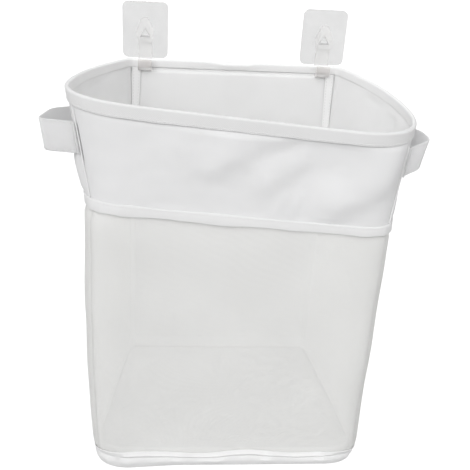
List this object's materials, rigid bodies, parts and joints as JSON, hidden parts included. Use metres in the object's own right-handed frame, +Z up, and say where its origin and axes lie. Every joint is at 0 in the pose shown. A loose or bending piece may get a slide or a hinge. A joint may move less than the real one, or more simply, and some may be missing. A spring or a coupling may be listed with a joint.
{
  "type": "bath toy organizer",
  "caption": "White fabric and mesh bag with a wired open mouth and side strap handles, hung by its back rim on clear adhesive wall hooks to hold and drain bath toys.",
  "frame": {"origin": "on the wall, midway between the two adhesive pads at the height of their centres", "axes": "+Z is up, +Y points into the wall, +X is to the right as seen from the front, so the bag hangs on the -Y side"},
  "size_m": [0.3406, 0.2065, 0.4235],
  "materials": {
    "clear_plastic": "clear moulded plastic, glossy",
    "steel": "drawn spring steel wire",
    "fabric": "matt white woven cloth",
    "tape": "white binding tape with a stitched edge",
    "mesh": "fine white see-through mesh"
  },
  "bodies": {
    "root": {"adhesive_pad_left": "clear_plastic", "adhesive_pad_right": "clear_plastic", "hook_left": "clear_plastic", "hook_right": "clear_plastic"},
    "bag": {"rim_wire": "steel", "wire_sleeve": "steel", "rim_binding": "tape", "back_panel": "fabric", "front_band": "fabric", "side_band_left": "fabric", "side_band_right": "fabric", "band_binding": "tape", "front_mesh": "mesh", "side_mesh_left": "mesh", "side_mesh_right": "mesh", "base_panel": "fabric", "base_binding": "tape", "back_seam_tape_left": "tape", "back_seam_tape_right": "tape", "front_seam_tape_left": "tape", "front_seam_tape_right": "tape", "corner_piping_left": "tape", "corner_piping_right": "tape", "handle_left": "fabric", "handle_right": "fabric"}
  },
  "joints": [
    {"name": "bag_swing", "type": "hinge", "parent": "root", "child": "bag", "pos_m": [0, -0.01024, -0.03], "axis": [-1, 0, 0], "range_deg": [0, 35]}
  ]
}
